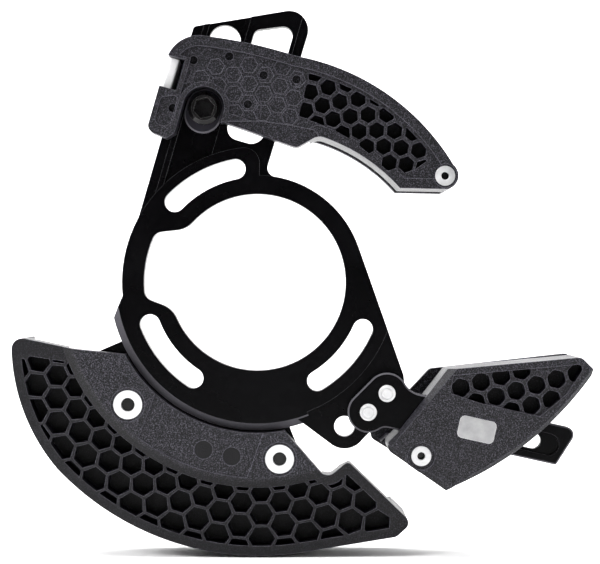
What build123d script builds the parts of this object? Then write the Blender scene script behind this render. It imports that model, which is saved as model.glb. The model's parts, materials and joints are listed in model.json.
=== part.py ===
"""Chain guide with a bash guard, in millimetres: X to the rear, Z up, +Y away from the frame."""
import os
from math import cos, radians, sin

from build123d import *

# Mounting ring; Y = 0 is the face that meets the frame tabs, the shell axis is the Y axis
bore_r = 28.0
relief_depth = 8.0
relief_corner_r = 3.5
relief_mouth_r = 8.0
tab_circle_r = 36.6
tab_slot_w = 6.4
tab_slot_half_span = 17.4
tab_slot_angles = (118.4, 218.8, 318.6)
ring_wall = 6.0
pad_wall = 3.2
rim_out = 4.2
rim_bevel = 2.4
rim_start = 179.0
rim_end = 291.0
plate_t = 5.0
lobe_step = 0.5
lobe_hole = (27.6, -45.7)
lobe_hole_d = 6.5
lobe_r = 7.1

# Slide tower on the ring, laid out along its slide (u) and across it (v)
tower_tilt = 16.1
tower_step = 1.0
tower_left = -42.1
tower_right = -7.3
slot_v = -31.3
slot_w = 10.1
slot_below = 2.1
slot_run = 24.9
slot_wall = 1.7
tower_rise = 16.9
tower_flare = 0.9
track_below = 30.0
track_w = 12.1
track_depth = 1.0
rail_w = 1.7
edge_step = 0.6
window_left = -23.0
window_right = -10.9

# Lower arm, laid out along its slide (s) and across it (w)
arm_angle = 12.5
arm_t = 4.0
arm_w = 12.5
arm_mid_w = -29.6
groove_w_pos = -30.0
arm_slot_w = 5.0
groove_w = 6.9
groove_depth = 1.5
arm_slot_before = 3.0
arm_slot_run = 21.8
groove_before = 8.0
groove_after = 4.8
arm_tip = 8.4
arm_tip_slant = 4.6
rivets = ((40.9, -35.0), (35.0, -40.9))
rivet_head_d = 5.3
rivet_head_t = 0.8
rivet_d = 4.0
head_r = 6.5

# Upper slider
near_gap = 0.3
near_t = 7.2
slide_gap = 0.1
side_gap = 0.3
rear_wall_t = 5.9
chain_gap = 9.5
gate_gap = 0.15
gate_t = 4.0
slider_left = -46.5
height_u = 48.1
notch_r = 6.5
nose = (59.0, 33.4)
nose_recess_d = 7.5
rim_w = 3.2
lip_w = 1.5
roof_r = 66.0
roof_end_x = 14.0

# Hinge at the left end of the upper slider
knuckle_low_u = 51.0
knuckle_top_u = 60.5
knuckle_v = -44.9
knuckle_w = 4.0
knuckle_reach = 2.7
hinge_y = -0.2
hinge_pin_d = 2.0
ear_gap = 0.25
leaf_t = 2.0
leaf_v_end = -34.0
knuckle_swing_gap = 1.5
pin_low_u = 46.0
pin_top_u = 62.0
hinge_clear = 0.05

# Lower slider
cover_t = 4.85
tunnel_gap = 0.15
reach_s = 77.0
outer_plate_t = 4.0
lower_nut = (51.4, -54.3)
lower_recess_d = 8.5
lower_boss_d = 10.0
lower_edge_bevel = 1.2
entry_bevel = 2.0
entry_bevel_depth = 4.6
foot_bevel = 2.0
foot_bevel_depth = 1.6
lower_field = ((61.4, -29.1), (101.2, -25.6), (101.7, -27.4), (96.8, -34.8), (88.4, -41.9), (69.7, -37.7),
               (60.4, -34.6))
rail_centre = (44.5, -83.0)
rail_r = 33.5
key_len = 8.0

# Bash guard
tab_t = 2.5
flange_t = 5.0
rim_gap = 0.4
skid_r = 86.5
skid_wall = 4.0
skid_depth = 23.5
skid_end_centre = (-16.9, -19.5)
skid_end_r = 61.0
web_t = 10.5
bash_bolt_out = 9.1
bash_bolt_angles = (223.4, 277.2)
bash_bolt_d = 4.4
tab_boss_r = 7.0
ledge_start = 203.4
ledge_end = 280.0
tab_boss_gap = 0.9
flange_relief = 0.5
flange_slope = 3.0
rib_step = 1.6
bash_rim = 3.1
bash_recess_d = 10.8
insert_d = 5.9
insert_depth = 0.25
insert_marks = ((-17.0, -52.9), (-8.1, -55.0))

# Honeycomb ribs
rib_t = 0.95
bash_rows = 5
bash_row_in = 1.5
bash_row_ratio = 1.0512
bash_column = 5.08
bash_first = -170.3
bash_pocket_depth = 6.4
bash_field_gap = 0.8
upper_rib_centre = (-3.5, -18.7)
upper_row_r = 75.0
upper_row_step = 2.97
upper_column = 3.45
upper_pocket = 4.7
upper_pocket_depth = 5.0
lower_rib_origin = (81.1, -33.9)
lower_rib_tilt = 16.0
lower_pitch = 6.55
lower_pocket = 5.5
lower_pocket_depth = 5.0
field_depth = 1.0
left_field_depth = 0.7
flap_step = 0.9
mark_depth = 0.2
upper_cells_in = 53.4
upper_cells_out = 67.6
ejector_d = 2.7
ejector_depth = 1.4
ejector_marks = ((-19.9, 69.7), (-8.7, 70.9), (2.1, 65.0), (12.4, 63.7), (-2.9, 55.9), (-26.4, 54.7))
lower_corner_r = 1.4

# Fasteners
small_screw_d = 2.6
small_head_d = 5.5
small_head_t = 2.0
small_nut_d = 6.2
small_nut_barrel_d = 4.4
small_nut_bore_d = 3.2
small_nut_hole_d = 2.5
small_nut_flange_t = 1.2
nut_recess_t = 0.4
bolt_d = 5.8
bolt_head_d = 10.2
bolt_head_t = 3.3
washer_t = 2.95
washer_w = 11.8
key_w = 9.8
key_run = 3.6
key_flange_t = 2.2
key_flange_over = 1.6
reach_bolt_d = 4.0
reach_head_d = 7.0
reach_head_t = 4.0
reach_nut_l = 11.6
reach_nut_w = 7.0
reach_nut_t = 3.0
reach_nut_r = 1.6
bash_nut_d = 9.1
bash_nut_flange_t = 1.2
bash_nut_barrel_d = 6.4
bash_head_d = 9.0
bash_head_t = 2.6
seat_clear = 0.05

# Radii and ends that follow from their neighbours
relief_r = bore_r + relief_depth
ring_r = bore_r + ring_wall
pad_r = tab_circle_r + tab_slot_w / 2 + pad_wall
rim_r = pad_r + rim_out
bash_bolt_r = rim_r + bash_bolt_out
flange_r = bash_bolt_r + tab_boss_r + tab_boss_gap
bash_field_in = flange_r + bash_field_gap
slot_low_u = height_u - slot_below
slot_top_u = slot_low_u + slot_run
tower_top_u = slot_top_u + slot_wall
arm_slot_start = reach_s - arm_slot_before
arm_slot_end = arm_slot_start + arm_slot_run
groove_start = arm_slot_start - groove_before
groove_end = arm_slot_end + groove_after
arm_end = groove_end + arm_tip

# Depths that follow from the stack of pieces
tower_y = tower_step
track_y = tower_y + track_depth
tab_y = plate_t - tab_t
arm_front = lobe_step - arm_t
near_back = tower_y - near_gap
near_front = near_back - near_t
rear_front = plate_t + slide_gap
chain_in = rear_front + rear_wall_t
chain_out = chain_in + chain_gap
gate_in = chain_out + gate_gap
gate_out = gate_in + gate_t
tunnel_front = arm_front - tunnel_gap
tunnel_back = lobe_step + tunnel_gap
lower_front = tunnel_front - cover_t
plate_out = chain_out + outer_plate_t
bash_front = tab_y - flange_t
bash_web = bash_front + web_t
bash_back = bash_front + skid_depth
rib_front = bash_front + rib_step
far = 60.0


def facing(y):
    """Sketch plane at depth y: local x is X and local y is Z."""
    return Plane.XZ.offset(-y)


def polar(r, angle):
    return (r * cos(radians(angle)), r * sin(radians(angle)))


def on_tower(u, v):
    t = radians(tower_tilt)
    return (u * sin(t) + v * cos(t), u * cos(t) - v * sin(t))


def on_arm(s, w):
    a = radians(arm_angle)
    return (s * cos(a) + w * sin(a), w * cos(a) - s * sin(a))


def outline(*points, mode=Mode.ADD):
    """Straight-sided face through points."""
    with BuildSketch() as face:
        with BuildLine():
            Polyline(*points, close=True)
        make_face()
    add(face.sketch, mode=mode)


def rounded_outline(points, radii, mode=Mode.ADD):
    with BuildSketch() as face:
        with BuildLine():
            FilletPolyline(*points, radius=radii, close=True)
        make_face()
    add(face.sketch, mode=mode)


def arc_slot(r, width, mid, half_span, mode=Mode.ADD):
    """Slot that follows a circle about the shell axis."""
    inner = r - width / 2
    outer = r + width / 2
    low = mid - half_span
    high = mid + half_span
    reach = width / 2
    low_tip = (polar(r, low)[0] + reach * sin(radians(low)), polar(r, low)[1] - reach * cos(radians(low)))
    high_tip = (polar(r, high)[0] - reach * sin(radians(high)),
                polar(r, high)[1] + reach * cos(radians(high)))
    with BuildSketch() as face:
        with BuildLine():
            ThreePointArc(polar(outer, low), polar(outer, mid), polar(outer, high))
            ThreePointArc(polar(outer, high), high_tip, polar(inner, high))
            ThreePointArc(polar(inner, high), polar(inner, mid), polar(inner, low))
            ThreePointArc(polar(inner, low), low_tip, polar(outer, low))
        make_face()
    add(face.sketch, mode=mode)


def sector(inner, outer, low, high, mode=Mode.ADD):
    mid = (low + high) / 2
    with BuildSketch() as face:
        with BuildLine():
            ThreePointArc(polar(outer, low), polar(outer, mid), polar(outer, high))
            Line(polar(outer, high), polar(inner, high))
            ThreePointArc(polar(inner, high), polar(inner, mid), polar(inner, low))
            Line(polar(inner, low), polar(outer, low))
        make_face()
    add(face.sketch, mode=mode)


def strip_on_tower(u0, u1, v0, v1, mode=Mode.ADD):
    outline(on_tower(u0, v0), on_tower(u1, v0), on_tower(u1, v1), on_tower(u0, v1), mode=mode)


def strip_on_arm(s0, s1, w0, w1, mode=Mode.ADD):
    outline(on_arm(s0, w0), on_arm(s1, w0), on_arm(s1, w1), on_arm(s0, w1), mode=mode)


def tower_slot(u0, u1, v, width):
    with Locations(on_tower((u0 + u1) / 2, v)):
        SlotCenterToCenter(u1 - u0, width, rotation=90 - tower_tilt)


def arm_slot(s0, s1, w, width):
    with Locations(on_arm((s0 + s1) / 2, w)):
        SlotCenterToCenter(s1 - s0, width, rotation=-arm_angle)


def across_tower(u):
    """Plane across the tower slide: local x is v and local y is Y."""
    t = radians(tower_tilt)
    x, z = on_tower(u, 0)
    return Plane(origin=(x, 0, z), x_dir=(cos(t), 0, -sin(t)), z_dir=(sin(t), 0, cos(t)))


def flanged_nut(centres, front, flange_d, flange_t, barrel_d, bore_d, hole_d, length):
    """Nut with a flat flange towards the frame and a threaded barrel behind it."""
    with BuildPart() as nut:
        with BuildSketch(facing(front + flange_t)):
            with Locations(*centres):
                Circle(flange_d / 2)
        extrude(amount=flange_t)
        with BuildSketch(facing(front + length)):
            with Locations(*centres):
                Circle(barrel_d / 2)
        extrude(amount=length - flange_t)
        with BuildSketch(facing(front + length)):
            with Locations(*centres):
                Circle(bore_d / 2)
        extrude(amount=length - flange_t, mode=Mode.SUBTRACT)
        with BuildSketch(facing(front + length)):
            with Locations(*centres):
                Circle(hole_d / 2)
        extrude(amount=length, mode=Mode.SUBTRACT)
    return nut.part


def socket_screw(centres, head_out, head_d, head_t, shank_d, length, socket):
    """Screw driven from the outer side: its head ends at head_out, its shank runs towards the frame."""
    with BuildPart() as screw:
        with BuildSketch(facing(head_out)):
            with Locations(*centres):
                Circle(head_d / 2)
        extrude(amount=head_t)
        with BuildSketch(facing(head_out - head_t)):
            with Locations(*centres):
                Circle(shank_d / 2)
        extrude(amount=length)
        with BuildSketch(facing(head_out)):
            with Locations(*centres):
                RegularPolygon(socket / 2, 6, major_radius=False)
        extrude(amount=head_t * 0.6, mode=Mode.SUBTRACT)
    return screw.part


def front_bevel(p, q, across, deep, front):
    """Slope cut along the front edge from p to q; the body lies to the right of that line."""
    run = ((q[0] - p[0])**2 + (q[1] - p[1])**2)**0.5
    along = ((q[0] - p[0]) / run, (q[1] - p[1]) / run)
    section = Plane(origin=(p[0], 0, p[1]), x_dir=(along[1], 0, -along[0]), z_dir=(along[0], 0, along[1]))
    with BuildSketch(section) as slope:
        outline((across * (1 + 1 / deep), front - 1), (-1, front + deep * (1 + 1 / across)), (-1, front - 1))
    extrude(slope.sketch, amount=run, mode=Mode.SUBTRACT)


def nut_seat(centre, front, flange_d, flange_t, barrel_d, recess_d, recess_t, back):
    """Stepped hole for a flanged nut, cut from the front."""
    for depth, diameter in ((recess_t, recess_d), (recess_t + flange_t, flange_d), (back - front, barrel_d)):
        with BuildSketch(facing(front + depth)) as step:
            with Locations(centre):
                Circle(diameter / 2)
        extrude(step.sketch, amount=depth, mode=Mode.SUBTRACT)


def round_corners(sketch, radius, *points):
    fillet([sketch.vertices().sort_by_distance(p)[0] for p in points], radius)


def relief_outline(mode=Mode.ADD):
    """Pocket in front of the bore that clears the shell's flange."""
    with BuildSketch() as face:
        with BuildLine():
            ThreePointArc(polar(relief_r, 154), polar(relief_r, 171), polar(relief_r, 188))
            Line(polar(relief_r, 188), polar(bore_r - 3, 203))
            Line(polar(bore_r - 3, 203), polar(bore_r - 3, 136))
            Line(polar(bore_r - 3, 136), polar(relief_r, 154))
        make_face()
        round_corners(face, relief_corner_r, polar(relief_r, 154), polar(relief_r, 188))
    add(face.sketch, mode=mode)


def leg_outline():
    """Rear side of the ring down to the lobe that carries the arm."""
    outline(polar(ring_r, 19.6), (46.4, -29.4), (47.0, -36.2), (33.4, -49.8), (23.4, -51.4), (12.0, -42.9),
            (0, -30), (20, 0))
    with Locations(lobe_hole):
        Circle(lobe_r)
    with Locations(rivets[0]):
        Circle(rivet_d / 2 + 4.1)


def tower_shape(mode=Mode.ADD):
    with BuildSketch() as face:
        Circle(ring_r)
        outline(on_tower(8, tower_left), on_tower(tower_top_u, tower_left),
                on_tower(tower_top_u + tower_rise, tower_right + tower_flare), on_tower(31, tower_right))
        round_corners(face, 1.5, on_tower(tower_top_u, tower_left))
        round_corners(face, 6.0, on_tower(tower_top_u + tower_rise, tower_right + tower_flare))
        round_corners(face, 3.0, (4.2, 33.7))
    add(face.sketch, mode=mode)


def rim_shape(mode=Mode.ADD):
    """Lower front part of the ring, wider than the pad and drawn in to a point at its upper end."""
    with BuildSketch() as face:
        sector(20, rim_r, rim_start, rim_end)
        outline(polar(pad_r - 0.5, rim_start + 5.5), polar(rim_r + 0.1, rim_start + 15),
                polar(rim_r + 8, rim_start), polar(pad_r, rim_start - 5), mode=Mode.SUBTRACT)
    add(face.sketch, mode=mode)


def plate_shape(mode=Mode.ADD):
    """Ring, pad and lobe."""
    with BuildSketch() as face:
        sector(20, pad_r, 89.0, 205.0)
        round_corners(face, 5.0, polar(pad_r, 89.0))
        Circle(ring_r)
        leg_outline()
        rim_shape()
    add(face.sketch, mode=mode)


def upper_outline(mode=Mode.ADD):
    """Side view of the upper slider, foot and flap included."""
    with BuildSketch() as face:
        with BuildLine():
            Polyline(on_tower(39.6, -36.2), on_tower(35.5, -39.8), on_tower(36.2, slider_left),
                     on_tower(60.8, slider_left))
            ThreePointArc(on_tower(60.8, slider_left), (-24.4, 75.4), (-17.8, 77.4))
            ThreePointArc((-17.8, 77.4), (-3.0, 75.0), (12.3, 70.9))
            ThreePointArc((12.3, 70.9), polar(71.8, 55.5), (61.6, 36.8))
            ThreePointArc((61.6, 36.8), (63.1, 32.6), (59.8, 29.2))
            Line((59.8, 29.2), (44.8, 29.5))
            ThreePointArc((44.8, 29.5), (33.1, 39.5), (19.1, 46.0))
            Polyline((19.1, 46.0), (12.5, 42.2), (-10.4, 50.2), on_tower(39.6, -36.2))
        make_face()
    add(face.sketch, mode=mode)


def gate_outline(mode=Mode.ADD):
    """Side view of the outer plate: the slider without its foot and flap."""
    with BuildSketch() as face:
        with BuildLine():
            Polyline(on_tower(43.5, knuckle_v - knuckle_w / 2), on_tower(60.8, knuckle_v - knuckle_w / 2))
            ThreePointArc(on_tower(60.8, knuckle_v - knuckle_w / 2), (-24.4, 75.4), (-17.8, 77.4))
            ThreePointArc((-17.8, 77.4), (-3.0, 75.0), (12.3, 70.9))
            ThreePointArc((12.3, 70.9), polar(71.8, 55.5), (61.6, 36.8))
            ThreePointArc((61.6, 36.8), (63.1, 32.6), (59.8, 29.2))
            Line((59.8, 29.2), (44.8, 29.5))
            ThreePointArc((44.8, 29.5), (33.1, 39.5), (19.1, 46.0))
            Polyline((19.1, 46.0), (-12.0, 53.5), on_tower(43.5, knuckle_v - knuckle_w / 2))
        make_face()
    add(face.sketch, mode=mode)


def lower_outline(mode=Mode.ADD):
    """Side view of the lower slider body."""
    with BuildSketch() as face:
        with BuildLine():
            Polyline((60.9, -64.1), (59.2, -65.2), (39.6, -51.6), (44.2, -47.2),
                     (60.0, -27.2), (101.4, -23.4),
                     (105.2, -27.2), (104.6, -29.2))
            ThreePointArc((104.6, -29.2), (85.2, -49.7), (60.9, -64.1))
        make_face()
    add(face.sketch, mode=mode)


def outer_plate_outline(mode=Mode.ADD):
    """Side view of the lower slider's outer plate, wider at the chain entry."""
    with BuildSketch() as face:
        with BuildLine():
            Polyline((60.9, -64.1), (59.2, -65.2), (35.4, -50.4), (56.2, -28.4),
                     (101.4, -23.4), (105.2, -27.2),
                     (104.6, -29.2))
            ThreePointArc((104.6, -29.2), (85.2, -49.7), (60.9, -64.1))
        make_face()
    add(face.sketch, mode=mode)


def bash_outline(mode=Mode.ADD):
    """Side view of the bash guard."""
    inner_r = rim_r + rim_gap
    with BuildSketch() as face:
        with BuildLine():
            ThreePointArc(polar(inner_r, -151.5), polar(inner_r, -114), polar(inner_r, -79.6))
            FilletPolyline(polar(inner_r, -79.6), (22.0, -62.2), (28.6, -56.6), (49.0, -76.2), (44.0, -80.6),
                           (14.2, -85.5), radius=(3.0, 1.5, 2.5, 2.5))
            ThreePointArc((14.2, -85.5), polar(skid_r, -108), (-63.4, -59.0))
            ThreePointArc((-63.4, -59.0), (-73.2, -43.0), (-77.8, -23.0))
            FilletPolyline((-77.8, -23.0), (-78.0, -16.9), (-58.5, -21.0), polar(inner_r, -151.5),
                           radius=(3.4, 25.0))
        make_face()
    add(face.sketch, mode=mode)


def bash_cells():
    """Honeycomb that grows with the radius, so every rib keeps its thickness."""
    for row in range(-1, bash_rows + 1):
        r = (bash_field_in + bash_row_in) * bash_row_ratio**row
        across = r * radians(bash_column) / sin(radians(60)) - rib_t
        first = bash_first + bash_column * (row % 2)
        with PolarLocations(r, 12, start_angle=first, angular_range=22 * bash_column, endpoint=True):
            RegularPolygon(across / 2, 6, major_radius=False, rotation=30)


def upper_cells(across, count, skip):
    """Honeycomb bent round the upper slider's own centre, from the nose back."""
    for row in range(-1, 5):
        r = upper_row_r + upper_row_step * row
        first = 75.5 - upper_column * (row % 2) - 2 * upper_column * skip
        with Locations(upper_rib_centre):
            with PolarLocations(r, count, start_angle=first - 2 * upper_column * (count - 1),
                                angular_range=2 * upper_column * (count - 1), endpoint=True):
                RegularPolygon(across / 2, 6, major_radius=False, rotation=30)


def lower_cells(across):
    """Straight honeycomb of the lower slider."""
    along = polar(lower_pitch, lower_rib_tilt)
    up = polar(lower_pitch, lower_rib_tilt + 60)
    for i in range(-4, 5):
        for j in range(-3, 4):
            with Locations((lower_rib_origin[0] + i * along[0] + j * up[0],
                            lower_rib_origin[1] + i * along[1] + j * up[1])):
                RegularPolygon(across / 2, 6, major_radius=False, rotation=30 + lower_rib_tilt)


def drop_slivers(sketch, area):
    """Leave out the cells that the field edge cuts down to slivers."""
    slivers = [face for face in sketch.faces() if face.area < area]
    if slivers:
        add(slivers, mode=Mode.SUBTRACT)


bash_bolts = [polar(bash_bolt_r, angle) for angle in bash_bolt_angles]

# Backplate, stacked from the outer face towards the frame
with BuildPart() as backplate:
    with BuildSketch(facing(plate_t)):
        plate_shape()
        tower_shape()
        sector(20, bash_bolt_r, ledge_start, ledge_end)
        for bolt in bash_bolts:
            outline((0, -20), (bolt[0] - tab_boss_r, bolt[1]), (bolt[0] + tab_boss_r, bolt[1]))
            with Locations(bolt):
                Circle(tab_boss_r)
    extrude(amount=tab_t)
    with BuildSketch(facing(tab_y)):
        plate_shape()
        tower_shape()
    extrude(amount=tab_y - tower_y)
    with BuildSketch(facing(tower_y)):
        plate_shape()
    extrude(amount=tower_y - lobe_step)
    with BuildSketch(facing(lobe_step)):
        plate_shape()
        Circle(pad_r + 1.0, mode=Mode.INTERSECT)
        rim_shape()
    extrude(amount=lobe_step)
    rim_edges = backplate.edges().filter_by(GeomType.CIRCLE).filter_by(
        lambda edge: abs(edge.radius - rim_r) < 0.01 and abs(edge.center().Y) < 0.01)
    chamfer(rim_edges, rim_bevel)
    with BuildSketch(facing(plate_t)) as shell_hole:
        Circle(bore_r)
        relief_outline()
        round_corners(shell_hole, relief_mouth_r, polar(bore_r, 143), polar(bore_r, 199))
    extrude(amount=far, mode=Mode.SUBTRACT)
    with BuildSketch(facing(plate_t)):
        for angle in tab_slot_angles:
            arc_slot(tab_circle_r, tab_slot_w, angle, tab_slot_half_span)
    extrude(amount=far, mode=Mode.SUBTRACT)
    with BuildSketch(facing(plate_t)):
        with Locations(lobe_hole):
            Circle(lobe_hole_d / 2)
        with Locations(*rivets):
            Circle(rivet_d / 2)
        with Locations(*bash_bolts):
            Circle(bash_nut_barrel_d / 2 + seat_clear)
    extrude(amount=far, mode=Mode.SUBTRACT)
    with BuildSketch(facing(plate_t)):
        tower_slot(slot_low_u, slot_top_u, slot_v, slot_w)
        rounded_outline([on_tower(41.6, window_left), on_tower(tower_top_u + 4.2, window_left),
                         on_tower(tower_top_u + 9.4, window_right), on_tower(41.6, window_right)],
                        (4.0, 2.5, 3.0, 4.5))
    extrude(amount=far, mode=Mode.SUBTRACT)
    with BuildSketch(facing(track_y)):
        strip_on_tower(height_u - track_below, 95, slot_v - track_w / 2, slot_v + track_w / 2)
        Circle(pad_r, mode=Mode.SUBTRACT)
    extrude(amount=track_depth + 1, mode=Mode.SUBTRACT)
    with BuildSketch(facing(tower_y + edge_step)):
        strip_on_tower(10, 95, tower_left - 5, slot_v - track_w / 2 - rail_w)
        strip_on_tower(45, 95, window_right + 1.3, tower_right + 5)
        Circle(pad_r, mode=Mode.SUBTRACT)
    extrude(amount=edge_step, mode=Mode.SUBTRACT)
backplate.part.label = "backplate"

# Lower arm
with BuildPart() as lower_arm:
    with BuildSketch(facing(lobe_step)) as arm_shape:
        half = arm_w / 2
        rounded_outline([on_arm(44, arm_mid_w + half), on_arm(arm_end, arm_mid_w + half),
                         on_arm(arm_end - arm_tip_slant, arm_mid_w - half), on_arm(44, arm_mid_w - half)],
                        (0.5, 2.6, 0.8, 0.5))
        with Locations(((rivets[0][0] + rivets[1][0]) / 2, (rivets[0][1] + rivets[1][1]) / 2)):
            SlotCenterToCenter(8.34, 2 * head_r, rotation=45)
        round_corners(arm_shape, 7.0, (50.4, -33.9))
        round_corners(arm_shape, 3.5, (38.6, -45.6))
    extrude(amount=arm_t)
    with BuildSketch(facing(lobe_step)):
        arm_slot(arm_slot_start, arm_slot_end, groove_w_pos, arm_slot_w)
    extrude(amount=arm_t, mode=Mode.SUBTRACT)
    with BuildSketch(facing(arm_front + groove_depth)):
        arm_slot(groove_start, groove_end, groove_w_pos, groove_w)
    extrude(amount=groove_depth, mode=Mode.SUBTRACT)
    with BuildSketch(facing(lobe_step)):
        with Locations(*rivets):
            Circle(rivet_d / 2)
    extrude(amount=arm_t, mode=Mode.SUBTRACT)
    chamfer(lower_arm.faces().sort_by(Axis.Y)[0].outer_wire().edges(), 0.5)
lower_arm.part.label = "lower_arm"

# Rivets through the arm and the lobe
with BuildPart() as arm_rivets:
    with BuildSketch(facing(plate_t)):
        with Locations(*rivets):
            Circle(rivet_d / 2)
    extrude(amount=plate_t - arm_front)
    with BuildSketch(facing(arm_front)):
        with Locations(*rivets):
            Circle(rivet_head_d / 2)
    extrude(amount=rivet_head_t)
    with BuildSketch(facing(arm_front - rivet_head_t + 0.35)):
        with Locations(*rivets):
            Circle(2.05)
            Circle(1.45, mode=Mode.SUBTRACT)
    extrude(amount=0.35, mode=Mode.SUBTRACT)
    with BuildSketch(facing(plate_t + rivet_head_t)):
        with Locations(*rivets):
            Circle(rivet_head_d / 2)
    extrude(amount=rivet_head_t)
arm_rivets.part.label = "arm_rivets"

# Upper slider body
nose_v = nose[0] * cos(radians(tower_tilt)) - nose[1] * sin(radians(tower_tilt))
channel_left = tower_left - side_gap
channel_right = tower_right + tower_flare + side_gap
with BuildSketch() as flap_face:
    outline((-10.6, 50.4), (1.1, 50.6), (10.9, 49.2), (17.8, 47.8), (20.0, 45.0), (12.5, 38.0), (-12.0, 46.0))
with BuildSketch() as lip_face:
    tower_slot(height_u - 20, height_u, slot_v, 2 * (notch_r + lip_w))
with BuildSketch() as hinge_face:
    strip_on_tower(30, knuckle_top_u + 1.2, slider_left - 5, channel_left + knuckle_swing_gap + 1.5)
with BuildPart() as upper_slider_body:
    with BuildSketch(facing(chain_in)) as upper_shape:
        upper_outline()
        round_corners(upper_shape, 2.5, on_tower(36.2, slider_left))
        round_corners(upper_shape, 1.0, on_tower(35.5, -39.8))
        round_corners(upper_shape, 2.5, (12.5, 42.2))
        round_corners(upper_shape, 4.0, (19.1, 46.0))
    extrude(amount=chain_in - near_front)
    with BuildSketch(facing(chain_out)):
        upper_outline()
        Circle(roof_r, mode=Mode.SUBTRACT)
        outline((roof_end_x, 0), (roof_end_x, 100), (100, 100), (100, 0), mode=Mode.SUBTRACT)
    extrude(amount=chain_gap)
    with BuildSketch(facing(chain_out)):
        upper_outline()
        strip_on_tower(0, 80, nose_v + small_screw_d / 2 + 0.3, nose_v + 20, mode=Mode.INTERSECT)
    extrude(amount=chain_gap)
    with BuildSketch(facing(rear_front)):
        strip_on_tower(0, 120, channel_left, channel_right)
    extrude(amount=rear_front - near_back, mode=Mode.SUBTRACT)
    with BuildSketch(facing(chain_in)):
        outline((-45, 30), (-45, 50.5), (-26, 50.5), (-10.4, 53), (4, 48.8), (12.4, 46),
                (16.5, 47.2), (16.5, 30))
    extrude(amount=chain_in - near_back, mode=Mode.SUBTRACT)
    with BuildSketch(facing(near_back)):
        tower_slot(height_u - 20, height_u, slot_v, 2 * notch_r)
    extrude(amount=near_t, mode=Mode.SUBTRACT)
    with BuildSketch(facing(chain_out)):
        strip_on_tower(knuckle_low_u - ear_gap, knuckle_top_u + ear_gap, slider_left - 5, channel_left)
    extrude(amount=chain_out - near_front, mode=Mode.SUBTRACT)
    with BuildSketch(facing(near_back)):
        strip_on_tower(knuckle_low_u - ear_gap, knuckle_top_u + ear_gap, slider_left - 5,
                       channel_left + knuckle_swing_gap)
    extrude(amount=near_t, mode=Mode.SUBTRACT)
    with BuildSketch(across_tower(pin_low_u)):
        with Locations((knuckle_v, hinge_y)):
            Circle(hinge_pin_d / 2)
    extrude(amount=pin_top_u - pin_low_u, mode=Mode.SUBTRACT)
    nut_seat(nose, near_front, small_nut_d, small_nut_flange_t, small_nut_barrel_d, nose_recess_d,
             nut_recess_t, chain_in)
    with BuildSketch(facing(chain_in)):
        tower_slot(height_u - key_run / 2, height_u + key_run / 2, slot_v, key_w + 2 * seat_clear)
    extrude(amount=rear_wall_t, mode=Mode.SUBTRACT)
    with BuildSketch(facing(chain_in)):
        tower_slot(height_u - key_run / 2, height_u + key_run / 2, slot_v, key_w + 2 * key_flange_over)
    extrude(amount=key_flange_t, mode=Mode.SUBTRACT)
    with BuildSketch(facing(near_front + left_field_depth)) as upper_field:
        upper_outline()
        offset(amount=-rim_w)
        add(flap_face.sketch, mode=Mode.SUBTRACT)
        add(lip_face.sketch, mode=Mode.SUBTRACT)
        add(hinge_face.sketch, mode=Mode.SUBTRACT)
    extrude(amount=left_field_depth, mode=Mode.SUBTRACT)
    with BuildSketch(facing(near_front + flap_step)):
        add(flap_face.sketch)
        add(lip_face.sketch, mode=Mode.SUBTRACT)
    extrude(amount=flap_step, mode=Mode.SUBTRACT)
    with BuildSketch(facing(near_front + left_field_depth)):
        foot_right = slot_v - notch_r - lip_w - 0.6
        rounded_outline([on_tower(39.0, slider_left + 1.5), on_tower(47.6, slider_left + 1.5),
                         on_tower(49.6, foot_right), on_tower(39.0, foot_right)], (2.2, 1.6, 1.2, 2.2))
    extrude(amount=left_field_depth, mode=Mode.SUBTRACT)
    with BuildSketch(facing(near_front + left_field_depth + upper_pocket_depth)) as upper_pockets:
        upper_cells(upper_pocket, 8, 0)
        sector(upper_cells_in, upper_cells_out, 35.5, 76, mode=Mode.INTERSECT)
        with Locations(nose):
            Circle(nose_recess_d / 2 + 1.4, mode=Mode.SUBTRACT)
        drop_slivers(upper_pockets, 2.5)
    extrude(amount=upper_pocket_depth + left_field_depth, mode=Mode.SUBTRACT)
    with BuildSketch(facing(near_front + left_field_depth + mark_depth)) as upper_marks:
        upper_cells(upper_pocket, 6, -6)
        add(upper_field.sketch_local, mode=Mode.INTERSECT)
        drop_slivers(upper_marks, 4.0)
    extrude(amount=mark_depth, mode=Mode.SUBTRACT)
    with BuildSketch(facing(near_front + left_field_depth + ejector_depth)):
        with Locations(*ejector_marks):
            Circle(ejector_d / 2)
    extrude(amount=ejector_depth, mode=Mode.SUBTRACT)
upper_slider_body.part.label = "upper_slider_body"

# Outer plate of the upper slider, on its hinge
with BuildPart() as upper_gate:
    with BuildSketch(facing(gate_out)):
        gate_outline()
    extrude(amount=gate_t)
    with BuildSketch(facing(gate_in + leaf_t)):
        strip_on_tower(knuckle_low_u, knuckle_top_u, knuckle_v - knuckle_w, leaf_v_end)
    extrude(amount=leaf_t, mode=Mode.SUBTRACT)
    with BuildSketch(facing(gate_out)):
        with Locations(nose):
            Circle(small_screw_d / 2 + seat_clear)
    extrude(amount=gate_t, mode=Mode.SUBTRACT)
    with BuildSketch(facing(gate_out)):
        with Locations(nose):
            Circle(small_head_d / 2 + seat_clear)
    extrude(amount=small_head_t, mode=Mode.SUBTRACT)
upper_gate.part.label = "upper_gate"

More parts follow.
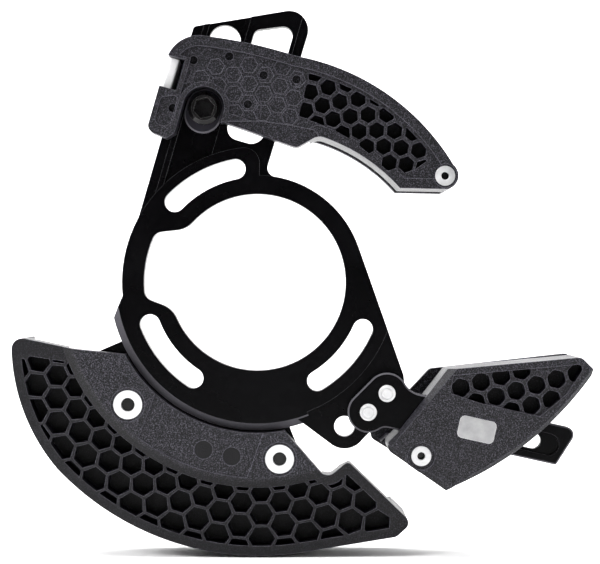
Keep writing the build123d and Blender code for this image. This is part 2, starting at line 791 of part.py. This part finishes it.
# Hinge knuckle with its leaf
with BuildPart() as hinge_knuckle:
    knuckle_left = knuckle_v - knuckle_w / 2
    knuckle_right = knuckle_v + knuckle_w / 2
    with BuildSketch(across_tower(knuckle_low_u)):
        rounded_outline([(knuckle_left, hinge_y - knuckle_reach), (knuckle_right, hinge_y - knuckle_reach),
                         (knuckle_right, gate_in), (leaf_v_end, gate_in), (leaf_v_end, gate_in + leaf_t),
                         (knuckle_left, gate_in + leaf_t)], (1.6, 0.6, 0, 0, 0, 0))
        with Locations((knuckle_v, hinge_y)):
            Circle(hinge_pin_d / 2 + hinge_clear, mode=Mode.SUBTRACT)
    extrude(amount=knuckle_top_u - knuckle_low_u)
hinge_knuckle.part.label = "hinge_knuckle"

with BuildPart() as hinge_pin:
    with BuildSketch(across_tower(pin_low_u)):
        with Locations((knuckle_v, hinge_y)):
            Circle(hinge_pin_d / 2)
    extrude(amount=pin_top_u - pin_low_u)
hinge_pin.part.label = "hinge_pin"

gate_t_nut = flanged_nut([nose], near_front + nut_recess_t, small_nut_d, small_nut_flange_t,
                         small_nut_barrel_d, small_nut_bore_d, small_nut_hole_d, -near_front - nut_recess_t)
gate_t_nut.label = "gate_t_nut"
gate_screw = socket_screw([nose], gate_out, small_head_d, small_head_t, small_screw_d,
                          gate_out - small_head_t - near_front - 3.0, 2.5)
gate_screw.label = "gate_screw"

# Height clamp: bolt and washer in front of the tower, keyed nut behind it
with BuildPart() as height_washer:
    with BuildSketch(facing(track_y - seat_clear)):
        tower_slot(height_u - 1.9, height_u + 0.5, slot_v, washer_w)
        with Locations(on_tower(height_u, slot_v)):
            Circle(bolt_d / 2 + 0.2, mode=Mode.SUBTRACT)
    extrude(amount=washer_t)
    chamfer(height_washer.faces().sort_by(Axis.Y)[0].outer_wire().edges(), 0.5)
height_washer.part.label = "height_washer"

washer_front = track_y - seat_clear - washer_t
with BuildPart() as height_bolt:
    with BuildSketch(facing(washer_front)):
        with Locations(on_tower(height_u, slot_v)):
            Circle(bolt_head_d / 2)
    extrude(amount=bolt_head_t)
    chamfer(height_bolt.faces().sort_by(Axis.Y)[0].outer_wire().edges(), 1.1)
    with BuildSketch(facing(washer_front - bolt_head_t + 2.2)):
        with Locations(on_tower(height_u, slot_v)):
            RegularPolygon(3.0, 6, major_radius=False, rotation=12)
    extrude(amount=2.2, mode=Mode.SUBTRACT)
    with BuildSketch(facing(chain_in - 0.4)):
        with Locations(on_tower(height_u, slot_v)):
            Circle(bolt_d / 2)
    extrude(amount=chain_in - 0.4 - washer_front)
height_bolt.part.label = "height_bolt"

with BuildPart() as height_nut:
    with BuildSketch(facing(chain_in)):
        tower_slot(height_u - key_run / 2, height_u + key_run / 2, slot_v, key_w + 2 * key_flange_over)
    extrude(amount=key_flange_t)
    with BuildSketch(facing(chain_in - key_flange_t)):
        tower_slot(height_u - key_run / 2, height_u + key_run / 2, slot_v, key_w)
    extrude(amount=chain_in - key_flange_t - track_y - near_gap)
    with BuildSketch(facing(chain_in)):
        with Locations(on_tower(height_u, slot_v)):
            Circle(bolt_d / 2 + 0.1)
    extrude(amount=far, mode=Mode.SUBTRACT)
height_nut.part.label = "height_nut"

# Lower slider body
with BuildPart() as lower_slider_body:
    with BuildSketch(facing(chain_in)) as lower_shape:
        lower_outline()
        round_corners(lower_shape, 2.4, (39.6, -51.6))
        round_corners(lower_shape, 1.0, (60.0, -27.2))
        round_corners(lower_shape, 2.0, (101.4, -23.4))
    extrude(amount=chain_in - lower_front)
    lower_edge = lower_slider_body.faces().sort_by(Axis.Y)[0].edges().filter_by(GeomType.CIRCLE).sort_by(
        lambda edge: edge.length)[-1]
    chamfer(lower_edge, lower_edge_bevel)
    front_bevel((40.5, -49.9), (62.0, -24.6), entry_bevel, entry_bevel_depth, lower_front)
    front_bevel((60.0, -65.8), (36.0, -49.1), foot_bevel, foot_bevel_depth, lower_front)
    with BuildSketch(facing(tunnel_front)):
        with Locations(lower_nut):
            Circle(lower_boss_d / 2)
        lower_outline(mode=Mode.INTERSECT)
    extrude(amount=cover_t)
    with BuildSketch(facing(chain_out)):
        lower_outline()
        with Locations(rail_centre):
            Circle(rail_r, mode=Mode.INTERSECT)
    extrude(amount=chain_gap)
    with BuildSketch(facing(tunnel_back)):
        strip_on_arm(0, 140, arm_mid_w - arm_w / 2 - tunnel_gap, arm_mid_w + arm_w / 2 + tunnel_gap)
    extrude(amount=tunnel_back - tunnel_front, mode=Mode.SUBTRACT)
    with BuildSketch(facing(arm_front + groove_depth - tunnel_gap)):
        arm_slot(reach_s - key_len / 2, reach_s + key_len / 2, groove_w_pos, groove_w - 2 * tunnel_gap)
    extrude(amount=groove_depth)
    with BuildSketch(facing(chain_in)):
        with Locations(on_arm(reach_s, groove_w_pos)):
            Circle(reach_bolt_d / 2 + seat_clear)
    extrude(amount=chain_in - lower_front, mode=Mode.SUBTRACT)
    with BuildSketch(facing(chain_in)):
        with Locations(on_arm(reach_s, groove_w_pos)):
            Circle(reach_head_d / 2 + 0.2)
    extrude(amount=reach_head_t, mode=Mode.SUBTRACT)
    with BuildSketch(facing(lower_front + reach_nut_t)):
        with Locations(on_arm(reach_s, groove_w_pos)):
            RectangleRounded(reach_nut_l, reach_nut_w, reach_nut_r, rotation=-arm_angle)
    extrude(amount=reach_nut_t, mode=Mode.SUBTRACT)
    nut_seat(lower_nut, lower_front, small_nut_d, small_nut_flange_t, small_nut_barrel_d, lower_recess_d,
             nut_recess_t + 0.4, chain_out)
    with BuildSketch(facing(lower_front + field_depth)):
        rounded_outline(lower_field, (0.8, 1.2, 1.0, 0, 0.8, 0, 0.8))
    extrude(amount=field_depth, mode=Mode.SUBTRACT)
    with BuildSketch(facing(lower_front + field_depth + lower_pocket_depth)) as lower_pockets:
        lower_cells(lower_pocket - 2 * lower_corner_r)
        with BuildLine():
            Polyline(*lower_field, close=True)
        make_face(mode=Mode.INTERSECT)
        drop_slivers(lower_pockets, 1.5)
        offset(amount=lower_corner_r)
        outline(*lower_field, mode=Mode.INTERSECT)
    extrude(amount=lower_pocket_depth + field_depth, mode=Mode.SUBTRACT)
lower_slider_body.part.label = "lower_slider_body"

with BuildPart() as lower_gate:
    with BuildSketch(facing(plate_out)) as plate_shape:
        outer_plate_outline()
        round_corners(plate_shape, 2.4, (35.4, -50.4))
        round_corners(plate_shape, 2.0, (56.2, -28.4), (101.4, -23.4))
    extrude(amount=outer_plate_t)
    chamfer(lower_gate.faces().sort_by(Axis.Y)[-1].outer_wire().edges(), 0.6)
    with BuildSketch(facing(plate_out)):
        with Locations(lower_nut):
            Circle(small_screw_d / 2 + seat_clear)
        with Locations(on_arm(reach_s, groove_w_pos)):
            Circle(reach_head_d / 2)
    extrude(amount=outer_plate_t, mode=Mode.SUBTRACT)
    with BuildSketch(facing(plate_out)):
        with Locations(lower_nut):
            Circle(small_head_d / 2 + seat_clear)
    extrude(amount=small_head_t, mode=Mode.SUBTRACT)
lower_gate.part.label = "lower_gate"

lower_nut_front = lower_front + nut_recess_t + 0.4
lower_t_nut = flanged_nut([lower_nut], lower_nut_front, small_nut_d, small_nut_flange_t, small_nut_barrel_d,
                          small_nut_bore_d, small_nut_hole_d, 9.0)
lower_t_nut.label = "lower_t_nut"
lower_gate_screw = socket_screw([lower_nut], plate_out, small_head_d, small_head_t, small_screw_d,
                                plate_out - small_head_t - lower_nut_front - 3.0, 2.5)
lower_gate_screw.label = "lower_gate_screw"

with BuildPart() as reach_nut:
    with BuildSketch(facing(lower_front + reach_nut_t)):
        with Locations(on_arm(reach_s, groove_w_pos)):
            RectangleRounded(reach_nut_l, reach_nut_w, reach_nut_r, rotation=-arm_angle)
    extrude(amount=reach_nut_t)
    with BuildSketch(facing(lower_front + reach_nut_t)):
        with Locations(on_arm(reach_s, groove_w_pos)):
            Circle(reach_bolt_d / 2)
    extrude(amount=reach_nut_t - 0.8, mode=Mode.SUBTRACT)
reach_nut.part.label = "reach_nut"

reach_bolt = socket_screw([on_arm(reach_s, groove_w_pos)], chain_in, reach_head_d, reach_head_t, reach_bolt_d,
                          chain_in - reach_head_t - lower_front - 0.9, 3.0)
reach_bolt.label = "reach_bolt"

# Bash guard
with BuildSketch() as bash_field:
    bash_outline()
    offset(amount=-bash_rim)
    Circle(bash_field_in, mode=Mode.SUBTRACT)
    outline((-90, -20.8), (-50, -26.6), (-50, 0), (-90, 0), mode=Mode.SUBTRACT)
with BuildSketch() as end_wall:
    outline((-52, -90), (-52, 0), (-100, 0), (-100, -90))
    with Locations(skid_end_centre):
        Circle(skid_end_r - skid_wall, mode=Mode.SUBTRACT)
with BuildPart() as bash_guard:
    with BuildSketch(facing(bash_back)):
        bash_outline()
    extrude(amount=skid_depth)
    with BuildSketch(facing(bash_back)):
        Circle(skid_r - skid_wall)
        add(end_wall.sketch, mode=Mode.SUBTRACT)
    extrude(amount=bash_back - bash_web, mode=Mode.SUBTRACT)
    with BuildSketch(facing(bash_web)):
        Circle(flange_r)
    extrude(amount=bash_web - tab_y, mode=Mode.SUBTRACT)
    with BuildSketch(Plane.XY):
        outline((bash_field_in - flange_slope, bash_front), (bash_field_in, rib_front),
                (2 * skid_r, rib_front), (2 * skid_r, bash_front - 5),
                (bash_field_in - flange_slope, bash_front - 5))
    revolve(axis=Axis.Y, mode=Mode.SUBTRACT)
    with BuildSketch(facing(rib_front + bash_pocket_depth)) as pockets:
        bash_cells()
        add(bash_field.sketch, mode=Mode.INTERSECT)
        drop_slivers(pockets, 1.5)
    extrude(amount=bash_pocket_depth, mode=Mode.SUBTRACT)
    with BuildSketch(facing(bash_front + flange_relief)):
        outline(polar(bash_bolt_r - 12, 225.6), polar(flange_r - 2, 232.8), polar(flange_r + 4, 250),
                polar(flange_r - 2, 266.9), polar(bash_bolt_r - 12, 273.9))
        Circle(bash_field_in - flange_slope - 0.3, mode=Mode.INTERSECT)
    extrude(amount=flange_relief, mode=Mode.SUBTRACT)
    with BuildSketch(facing(bash_front + flange_relief + insert_depth)):
        with Locations(*insert_marks):
            Circle(insert_d / 2)
    extrude(amount=insert_depth, mode=Mode.SUBTRACT)
    for bolt in bash_bolts:
        nut_seat(bolt, bash_front, bash_nut_d, bash_nut_flange_t, bash_nut_barrel_d, bash_recess_d,
                 nut_recess_t, plate_t)
bash_guard.part.label = "bash_guard"

bash_nut_front = bash_front + nut_recess_t
bash_t_nuts = flanged_nut(bash_bolts, bash_nut_front, bash_nut_d, bash_nut_flange_t, bash_nut_barrel_d,
                          bash_bolt_d, bash_bolt_d, plate_t - 0.3 - bash_nut_front)
bash_t_nuts.label = "bash_t_nuts"
bash_bolt_set = socket_screw(bash_bolts, plate_t + bash_head_t, bash_head_d, bash_head_t, bash_bolt_d - 0.2,
                             plate_t - bash_nut_front - 1.5, 4.0)
bash_bolt_set.label = "bash_bolts"

os.makedirs("parts", exist_ok=True)
builders = (backplate, lower_arm, arm_rivets, upper_slider_body, upper_gate, hinge_knuckle, hinge_pin,
            height_washer, height_bolt, height_nut, lower_slider_body, lower_gate, reach_nut, bash_guard)
pieces = [builder.part for builder in builders]
pieces += [gate_t_nut, gate_screw, lower_t_nut, lower_gate_screw, reach_bolt, bash_t_nuts, bash_bolt_set]
for piece in pieces:
    export_step(piece, f"parts/{piece.label}.step")
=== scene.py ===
"""Looks of the chain guide: finishes, light, floor and the camera of the photograph."""

import json
import math

import bpy
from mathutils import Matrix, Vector


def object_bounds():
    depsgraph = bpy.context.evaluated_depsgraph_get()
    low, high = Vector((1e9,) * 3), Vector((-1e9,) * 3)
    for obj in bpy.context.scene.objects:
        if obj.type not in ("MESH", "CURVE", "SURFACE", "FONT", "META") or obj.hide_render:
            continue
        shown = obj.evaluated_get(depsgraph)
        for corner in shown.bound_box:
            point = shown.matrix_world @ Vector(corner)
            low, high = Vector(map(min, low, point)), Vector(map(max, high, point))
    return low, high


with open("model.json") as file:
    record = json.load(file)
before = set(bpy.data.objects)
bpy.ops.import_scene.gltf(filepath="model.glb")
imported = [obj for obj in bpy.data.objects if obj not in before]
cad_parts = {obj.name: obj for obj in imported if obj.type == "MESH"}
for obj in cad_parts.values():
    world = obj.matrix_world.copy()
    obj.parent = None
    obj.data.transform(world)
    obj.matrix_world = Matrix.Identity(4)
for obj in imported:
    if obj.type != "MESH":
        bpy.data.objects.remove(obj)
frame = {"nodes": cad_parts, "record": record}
cad_low, cad_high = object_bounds()

# Camera of the photograph, level and looking along +Y: places in metres, lens and sensor in millimetres
CAMERA_AT = Vector((0.0135, -0.520, 0.0001))
LENS = 98.4
SENSOR = 36.0
CLIP_NEAR = 0.01
CLIP_FAR = 20.0

# Floor: a flat strip that curves up into a wall far in front of the part and behind it, in metres
FLOOR_GAP = 0.0006
FLOOR_FRONT = -3.2
FLOOR_BACK = 0.9
FLOOR_SIDE = 3.0
COVE_RADIUS = 0.6
COVE_STEPS = 12
WALL_HEIGHT = 2.5

# Strength of the even light from all round
WORLD_STRENGTH = 0.07

# Edge radius seen on moulded and on machined pieces, in metres
MOULDED_EDGE = 0.00035
MACHINED_EDGE = 0.0002
EDGE_SAMPLES = 6

# Cosine between the rounded and the flat normal, from the middle of an edge to the face beside it
EDGE_COSINE = (0.80, 0.995)

# Open share of what a point looks out on, from deep in a pocket to out of it, across which painted shade
# fades out
POCKET_OPEN = (0.22, 0.66)
POCKET_SAMPLES = 6

# How square a face stands to the front: a bevel of about 45 degrees counts, the front and the sides don't
NONE = (0.0, 0.0, 0.0)
FULL = (1.0, 1.0, 1.0)
BEVEL_STOPS = [(0.40, NONE), (0.55, FULL), (0.85, FULL), (0.95, NONE)]

# The guard's grained skin ends at this radius and at this depth, fading over these lengths, in metres
GUARD_SKIN_END = 0.0615
GUARD_SKIN_BACK = -0.00188
SKIN_END_FADE = 0.002
SKIN_BACK_FADE = 0.00008

# A length that no point of the part reaches, for a skin that covers its whole piece
NO_LIMIT = (cad_high - cad_low).length

# Turn of a texture in radians, so that its grain follows no axis of the part
GRAIN_TURN = (0.55, 0.35, 0.75)

# Middle stretch of a noise's values, where most of them lie
MIDDLE = (0.3, 0.7)

# Shares of red, green and blue in black pigment, which is faintly blue
PIGMENT = (1.0, 0.96, 1.20)


def black(value):
    """Dark tone of black pigment."""
    return tuple(value * share for share in PIGMENT)


class Nodes:
    """Nodes of one material: each call adds some and gives the socket that comes out of them."""

    def __init__(self, name):
        self.material = bpy.data.materials.new(name)
        self.material.use_nodes = True
        self.tree = self.material.node_tree
        self.tree.nodes.clear()
        output = self.add("ShaderNodeOutputMaterial")
        self.shader = self.add("ShaderNodeBsdfPrincipled")
        self.link(self.shader.outputs["BSDF"], output.inputs["Surface"])
        self.where = self.add("ShaderNodeTexCoord").outputs["Object"]

    def add(self, kind, inputs=None):
        """One node, with plain numbers on the inputs that are named."""
        node = self.tree.nodes.new(kind)
        for name, value in (inputs or {}).items():
            node.inputs[name].default_value = value
        return node

    def link(self, out_socket, in_socket):
        self.tree.links.new(out_socket, in_socket)

    def drive(self, name, value):
        """Links a value to the named input of the shader."""
        self.link(value, self.shader.inputs[name])

    def noise(self, scale, detail, roughness, stretch=None):
        """Grain of about scale grains a metre, which a stretch makes finer along an axis, into lines."""
        mapping = self.add("ShaderNodeMapping", {"Scale": stretch} if stretch else {"Rotation": GRAIN_TURN})
        node = self.add("ShaderNodeTexNoise", {"Scale": scale, "Detail": detail, "Roughness": roughness})
        self.link(self.where, mapping.inputs["Vector"])
        self.link(mapping.outputs["Vector"], node.inputs["Vector"])
        return node.outputs["Fac"]

    def cells(self, scale):
        """Distance to the nearest of scattered points, about scale of them a metre."""
        node = self.add("ShaderNodeTexVoronoi", {"Scale": scale})
        self.link(self.where, node.inputs["Vector"])
        return node.outputs["Distance"]

    def ramp(self, value, stops):
        """Colour that goes with a value, from stops of place and colour."""
        node = self.add("ShaderNodeValToRGB")
        band = node.color_ramp
        while len(band.elements) < len(stops):
            band.elements.new(0.5)
        for element, (place, colour) in zip(band.elements, stops):
            element.position = place
            element.color = (*colour, 1.0)
        self.link(value, node.inputs["Fac"])
        return node.outputs["Color"]

    def tones(self, value, low, high, across=MIDDLE):
        """Colour from low to high as a value goes across its range."""
        return self.ramp(value, list(zip(across, (low, high))))

    def spread(self, value, to, across=MIDDLE):
        """Number from the first to the second of to, as a value goes across its range."""
        ends = {"From Min": across[0], "From Max": across[1], "To Min": to[0], "To Max": to[1]}
        node = self.add("ShaderNodeMapRange", ends)
        self.link(value, node.inputs["Value"])
        return node.outputs["Result"]

    def blend(self, factor, a, b):
        """Colour a where the factor is 0 and b where it is 1."""
        node = self.add("ShaderNodeMix")
        node.data_type = "RGBA"
        self.link(factor, node.inputs["Factor"])
        self.link(a, node.inputs["A"])
        self.link(b, node.inputs["B"])
        return node.outputs["Result"]

    def sum(self, a, b, weight):
        """Value a plus weight times value b."""
        node = self.add("ShaderNodeMath")
        node.operation = "MULTIPLY_ADD"
        node.inputs[1].default_value = weight
        self.link(b, node.inputs[0])
        self.link(a, node.inputs[2])
        return node.outputs["Value"]

    def rounded(self, radius):
        """Shading normal of edges broken to a radius, and how much of an edge each point is."""
        bevel = self.add("ShaderNodeBevel", {"Radius": radius})
        bevel.samples = EDGE_SAMPLES
        face = self.add("ShaderNodeNewGeometry")
        cosine = self.add("ShaderNodeVectorMath")
        cosine.operation = "DOT_PRODUCT"
        self.link(bevel.outputs["Normal"], cosine.inputs[0])
        self.link(face.outputs["Normal"], cosine.inputs[1])
        edge = self.spread(cosine.outputs["Value"], to=(1.0, 0.0), across=EDGE_COSINE)
        return bevel.outputs["Normal"], edge

    def radius(self):
        """Distance from the axis of the shell."""
        flat = self.add("ShaderNodeVectorMath")
        flat.operation = "MULTIPLY"
        flat.inputs[1].default_value = (1.0, 0.0, 1.0)
        self.link(self.where, flat.inputs[0])
        length = self.add("ShaderNodeVectorMath")
        length.operation = "LENGTH"
        self.link(flat.outputs["Vector"], length.inputs[0])
        return length.outputs["Value"]

    def depth(self):
        """Distance behind the pad face."""
        parts = self.add("ShaderNodeSeparateXYZ")
        self.link(self.where, parts.inputs["Vector"])
        return parts.outputs["Y"]

    def slanted(self):
        """How far a face is a bevel between the front and a side."""
        face = self.add("ShaderNodeNewGeometry")
        parts = self.add("ShaderNodeSeparateXYZ")
        self.link(face.outputs["Normal"], parts.inputs["Vector"])
        square = self.spread(parts.outputs["Y"], to=(1.0, 0.0), across=(-1.0, 0.0))
        return self.ramp(square, BEVEL_STOPS)

    def hollow_shade(self, reach):
        """How far a point lies down in a pocket of its own piece, looking as far as reach: the mask for
        painted shade.
        """
        node = self.add("ShaderNodeAmbientOcclusion", {"Distance": reach})
        node.samples = POCKET_SAMPLES
        node.only_local = True
        return self.spread(node.outputs["AO"], to=(1.0, 0.0), across=POCKET_OPEN)

    def bump(self, height, distance, strength, normal):
        """Shading normal with a fine relief laid over it, distance high in metres."""
        node = self.add("ShaderNodeBump", {"Strength": strength, "Distance": distance})
        self.link(height, node.inputs["Height"])
        self.link(normal, node.inputs["Normal"])
        return node.outputs["Normal"]


def moulded_composite(name, skin_tone, rib_tone, skin_end=NO_LIMIT, skin_back=NO_LIMIT):
    """Glass-filled nylon: spark-eroded skin, painted shade darkening the pockets, and edges lightened
    partly by wear and partly as a painted highlight.

    The skin ends at a radius, with darker ribs past it, and at a depth, with plain walls behind it.
    """
    nodes = Nodes(name)
    normal, edge = nodes.rounded(MOULDED_EDGE)
    grain = nodes.noise(scale=2800.0, detail=2.0, roughness=0.6)
    pits = nodes.cells(scale=3100.0)
    patches = nodes.noise(scale=42.0, detail=4.0, roughness=0.6)
    skin = nodes.ramp(grain, [
        (0.40, black(0.002 * skin_tone)),
        (0.50, black(0.010 * skin_tone)),
        (0.60, black(0.056 * skin_tone)),
        (0.70, black(0.125 * skin_tone)),
    ])
    grained_ribs = nodes.ramp(grain, [
        (0.40, black(0.002 * rib_tone)),
        (0.52, black(0.009 * rib_tone)),
        (0.66, black(0.050 * rib_tone)),
    ])
    walls = nodes.tones(patches, black(0.005 * rib_tone), black(0.010 * rib_tone))
    # Painted shade: near-black colour laid deep in pockets, where shade falls
    painted_pocket_shade = nodes.tones(patches, black(0.0012), black(0.0030))
    # Edges lighter: partly wear, partly a painted highlight where light catches the edges
    worn_and_highlit_edge = nodes.tones(grain, black(0.050), black(0.150), across=(0.35, 0.70))
    ribs = nodes.blend(nodes.spread(pits, to=(0.5, 0.9), across=(0.1, 0.6)), walls, grained_ribs)
    behind = nodes.spread(nodes.depth(), to=(0.0, 1.0), across=(skin_back, skin_back + SKIN_BACK_FADE))
    within = nodes.spread(nodes.radius(), to=(1.0, 0.0), across=(skin_end, skin_end + SKIN_END_FADE))
    body = nodes.blend(within, ribs, nodes.blend(behind, skin, walls))
    hollow_shade = nodes.hollow_shade(reach=0.006)
    haze = nodes.sum(grain, patches, weight=0.6)
    relief = nodes.sum(grain, pits, weight=0.3)
    nodes.drive("Base Color", nodes.blend(hollow_shade, nodes.blend(edge, body, worn_and_highlit_edge), painted_pocket_shade))
    nodes.drive("Roughness", nodes.spread(haze, to=(0.32, 0.52), across=(0.5, 1.1)))
    # Painted shade also dims the reflection deep in pockets
    nodes.drive("Specular IOR Level", nodes.spread(hollow_shade, to=(0.20, 0.07), across=(0.0, 1.0)))
    nodes.drive("Normal", nodes.bump(relief, distance=0.00012, strength=0.8, normal=normal))
    return nodes.material


def anodised_alloy(name, tone):
    """Black anodised aluminium, bead blasted before anodising; 45-degree bevel faces painted lighter as a
    painted reflection, edges lighter partly by wear and partly as a painted highlight.
    """
    nodes = Nodes(name)
    normal, edge = nodes.rounded(MACHINED_EDGE)
    blast = nodes.noise(scale=5200.0, detail=2.0, roughness=0.55)
    cloud = nodes.noise(scale=38.0, detail=4.0, roughness=0.6)
    dark = nodes.tones(cloud, black(0.0008 * tone), black(0.0017 * tone))
    # Painted reflection: bevel faces made lighter, standing in for the light they would mirror
    painted_bevel_reflection = nodes.tones(blast, (0.058, 0.056, 0.064), (0.090, 0.087, 0.098))
    # Edges lighter: partly wear, partly a painted highlight where light catches the edges
    worn_and_highlit_edge = nodes.tones(blast, (0.030, 0.029, 0.033), (0.105, 0.102, 0.110))
    body = nodes.blend(nodes.slanted(), dark, painted_bevel_reflection)
    haze = nodes.sum(cloud, blast, weight=0.3)
    nodes.drive("Base Color", nodes.blend(edge, body, worn_and_highlit_edge))
    nodes.shader.inputs["Specular IOR Level"].default_value = 0.045
    nodes.drive("Roughness", nodes.spread(haze, to=(0.20, 0.31), across=(0.4, 0.9)))
    nodes.drive("Normal", nodes.bump(blast, distance=0.000012, strength=0.3, normal=normal))
    return nodes.material


def plain_alloy():
    """Raw aluminium with fine cutter lines and handling marks."""
    nodes = Nodes("plain_alloy")
    normal, edge = nodes.rounded(MACHINED_EDGE)
    lines = nodes.noise(scale=900.0, detail=3.0, roughness=0.6, stretch=(1.0, 1.0, 9.0))
    marks = nodes.noise(scale=160.0, detail=5.0, roughness=0.65)
    base = nodes.tones(marks, (0.60, 0.60, 0.605), (0.78, 0.78, 0.785))
    worn = nodes.tones(lines, (0.82, 0.82, 0.82), (0.93, 0.93, 0.93))
    haze = nodes.sum(lines, marks, weight=0.7)
    nodes.drive("Base Color", nodes.blend(edge, base, worn))
    nodes.shader.inputs["Metallic"].default_value = 0.4
    nodes.drive("Roughness", nodes.spread(haze, to=(0.42, 0.62), across=(0.5, 1.1)))
    nodes.drive("Normal", nodes.bump(lines, distance=0.00001, strength=0.3, normal=normal))
    return nodes.material


def plain_steel(name, tone):
    """Turned steel with a light zinc bloom."""
    nodes = Nodes(name)
    normal, edge = nodes.rounded(MACHINED_EDGE)
    fine = nodes.noise(scale=2600.0, detail=2.0, roughness=0.5)
    bloom = nodes.noise(scale=240.0, detail=4.0, roughness=0.6)
    dull = (0.46 * tone, 0.46 * tone, 0.47 * tone)
    bright = (0.66 * tone, 0.66 * tone, 0.665 * tone)
    worn = nodes.tones(fine, (0.78, 0.78, 0.79), (0.90, 0.90, 0.90))
    nodes.drive("Base Color", nodes.blend(edge, nodes.tones(bloom, dull, bright), worn))
    nodes.shader.inputs["Metallic"].default_value = 0.6
    nodes.drive("Roughness", nodes.spread(bloom, to=(0.30, 0.48)))
    nodes.drive("Normal", nodes.bump(fine, distance=0.000012, strength=0.3, normal=normal))
    return nodes.material


def black_oxide():
    """Oiled black-oxide steel, with edges worn a little brown and painted shade darkening the sockets."""
    nodes = Nodes("black_oxide")
    normal, edge = nodes.rounded(MACHINED_EDGE)
    fine = nodes.noise(scale=3600.0, detail=2.0, roughness=0.55)
    film = nodes.noise(scale=180.0, detail=4.0, roughness=0.6)
    base = nodes.tones(film, (0.0030, 0.0028, 0.0030), (0.0070, 0.0066, 0.0070))
    worn = nodes.tones(fine, (0.07, 0.068, 0.066), (0.17, 0.166, 0.162))
    # Painted shade: darker colour deep in sockets, where shade falls
    painted_socket_shade = nodes.tones(film, black(0.0006), black(0.0012))
    hollow_shade = nodes.hollow_shade(reach=0.004)
    nodes.drive("Base Color", nodes.blend(hollow_shade, nodes.blend(edge, base, worn), painted_socket_shade))
    # Painted shade also dims the reflection deep in sockets
    nodes.drive("Specular IOR Level", nodes.spread(hollow_shade, to=(0.22, 0.01), across=(0.0, 0.8)))
    nodes.drive("Roughness", nodes.spread(film, to=(0.16, 0.28)))
    nodes.drive("Normal", nodes.bump(fine, distance=0.000015, strength=0.35, normal=normal))
    return nodes.material


# Finish of each material slot, and of the nodes that have a finish of their own
FINISHES = {
    "black_composite": moulded_composite("moulded_composite", skin_tone=0.60, rib_tone=0.60),
    "black_alloy": anodised_alloy("anodised_alloy", tone=1.0),
    "raw_alloy": plain_alloy(),
    "bright_steel": plain_steel("plain_steel", tone=1.0),
    "black_steel": black_oxide(),
}
OWN_FINISHES = {
    "bash_guard": moulded_composite("skid_composite", skin_tone=0.72, rib_tone=0.50,
                                    skin_end=GUARD_SKIN_END, skin_back=GUARD_SKIN_BACK),
    "height_washer": anodised_alloy("blasted_washer", tone=16.0),
    "reach_nut": plain_steel("satin_steel", tone=0.55),
}
for subpart in frame["record"]["subparts"]:
    slots = frame["nodes"][subpart["node"]].data.materials
    slots.clear()
    slots.append(OWN_FINISHES.get(subpart["node"], FINISHES[subpart["material_slot"]]))


def cove(start, way, level):
    """Quarter circle of Y and Z, from the floor at start up to the foot of a wall, towards +Y or -Y."""
    turns = [math.radians(90 * step / COVE_STEPS) for step in range(COVE_STEPS + 1)]
    return [(start + way * COVE_RADIUS * math.sin(turn), level + COVE_RADIUS * (1 - math.cos(turn)))
            for turn in turns]


def floor():
    """Pale paper under the object, up behind it and up far in front of it."""
    level = cad_low.z - FLOOR_GAP
    top = level + WALL_HEIGHT
    front = cove(FLOOR_FRONT, -1, level)
    back = cove(FLOOR_BACK, 1, level)
    profile = [(front[-1][0], top), *reversed(front), *back, (back[-1][0], top)]
    verts = [(x, y, z) for y, z in profile for x in (-FLOOR_SIDE, FLOOR_SIDE)]
    faces = [(2 * i, 2 * i + 1, 2 * i + 3, 2 * i + 2) for i in range(len(profile) - 1)]
    mesh = bpy.data.meshes.new("floor")
    mesh.from_pydata(verts, [], faces)
    mesh.polygons.foreach_set("use_smooth", [True] * len(faces))
    nodes = Nodes("pale_floor")
    paper = nodes.noise(scale=60.0, detail=4.0, roughness=0.6)
    nodes.drive("Base Color", nodes.tones(paper, (0.90, 0.90, 0.90), (0.93, 0.93, 0.93)))
    nodes.drive("Roughness", nodes.spread(paper, to=(0.85, 0.95)))
    mesh.materials.append(nodes.material)
    sweep = bpy.data.objects.new("floor", mesh)
    bpy.context.scene.collection.objects.link(sweep)


def softbox(name, at, aim, width, height, watts):
    """Rectangular soft light that points from one place at another, in metres."""
    light = bpy.data.lights.new(name, "AREA")
    light.shape = "RECTANGLE"
    light.size = width
    light.size_y = height
    light.energy = watts
    lamp = bpy.data.objects.new(name, light)
    lamp.location = at
    lamp.rotation_mode = "QUATERNION"
    lamp.rotation_quaternion = (Vector(aim) - Vector(at)).to_track_quat("-Z", "Y")
    bpy.context.scene.collection.objects.link(lamp)


# Floor and studio light: the last softbox lights the wall behind the object
floor()
softbox("key", at=(-0.72, -0.48, 0.62), aim=(0.0, 0.0, -0.01), width=0.4, height=0.4, watts=10.0)
softbox("fill", at=(0.80, -0.45, 0.25), aim=(0.02, 0.0, 0.0), width=0.4, height=0.7, watts=3.0)
softbox("top", at=(-0.10, -0.12, 0.90), aim=(0.01, 0.0, 0.0), width=0.7, height=0.4, watts=12.0)
softbox("sweep", at=(0.0, 0.60, 1.40), aim=(0.0, 1.3, 0.1), width=2.0, height=0.8, watts=60.0)

world = bpy.data.worlds.new("studio")
world.use_nodes = True
sky = world.node_tree.nodes["Background"]
sky.inputs["Color"].default_value = (1.0, 1.0, 1.0, 1.0)
sky.inputs["Strength"].default_value = WORLD_STRENGTH
bpy.context.scene.world = world
bpy.context.scene.view_settings.view_transform = "Standard"

# Camera
lens = bpy.data.cameras.new("camera")
lens.lens = LENS
lens.sensor_width = SENSOR
lens.clip_start = CLIP_NEAR
lens.clip_end = CLIP_FAR
camera = bpy.data.objects.new("camera", lens)
camera.location = CAMERA_AT
camera.rotation_euler = (math.radians(90), 0.0, 0.0)
bpy.context.scene.collection.objects.link(camera)
bpy.context.scene.camera = camera
